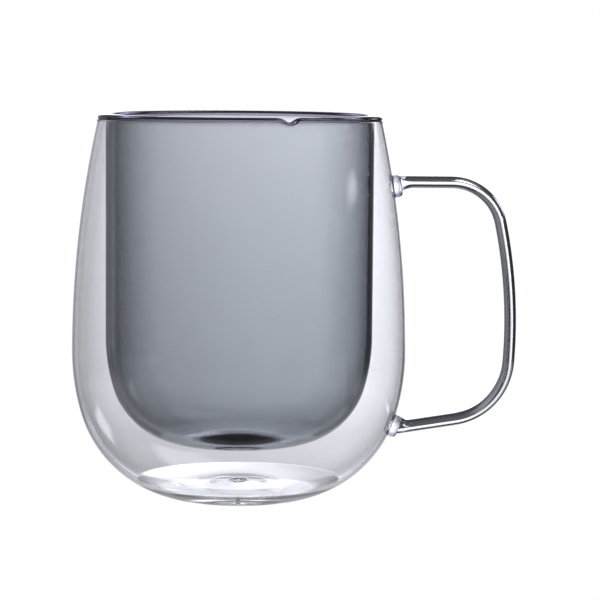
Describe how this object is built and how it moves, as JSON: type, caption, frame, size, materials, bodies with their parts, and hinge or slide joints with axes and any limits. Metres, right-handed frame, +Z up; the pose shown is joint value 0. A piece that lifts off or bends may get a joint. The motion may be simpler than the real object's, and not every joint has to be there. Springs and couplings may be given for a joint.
{
  "type": "double-walled glass cup",
  "caption": "Double-walled glass cup with a clear rounded outer wall, a smoke-grey straight liner fused at the rim, a sealed vent in the base and a flat clear glass strap handle.",
  "frame": {"origin": "centre of the base, on the plane that the cup stands on", "axes": "+Z up along the cup's axis and out of its mouth, +X towards the handle, +Y across the handle"},
  "size_m": [0.1196, 0.09, 0.1038],
  "materials": {
    "clear_glass": "polished, clear",
    "smoke_glass": "polished, smoke grey"
  },
  "bodies": {
    "root": {"outer_wall": "clear_glass", "liner": "smoke_glass", "rim_bead": "smoke_glass", "vent_seal": "clear_glass", "handle": "clear_glass", "upper_weld_pad": "clear_glass", "lower_weld_pad": "clear_glass"}
  },
  "joints": []
}
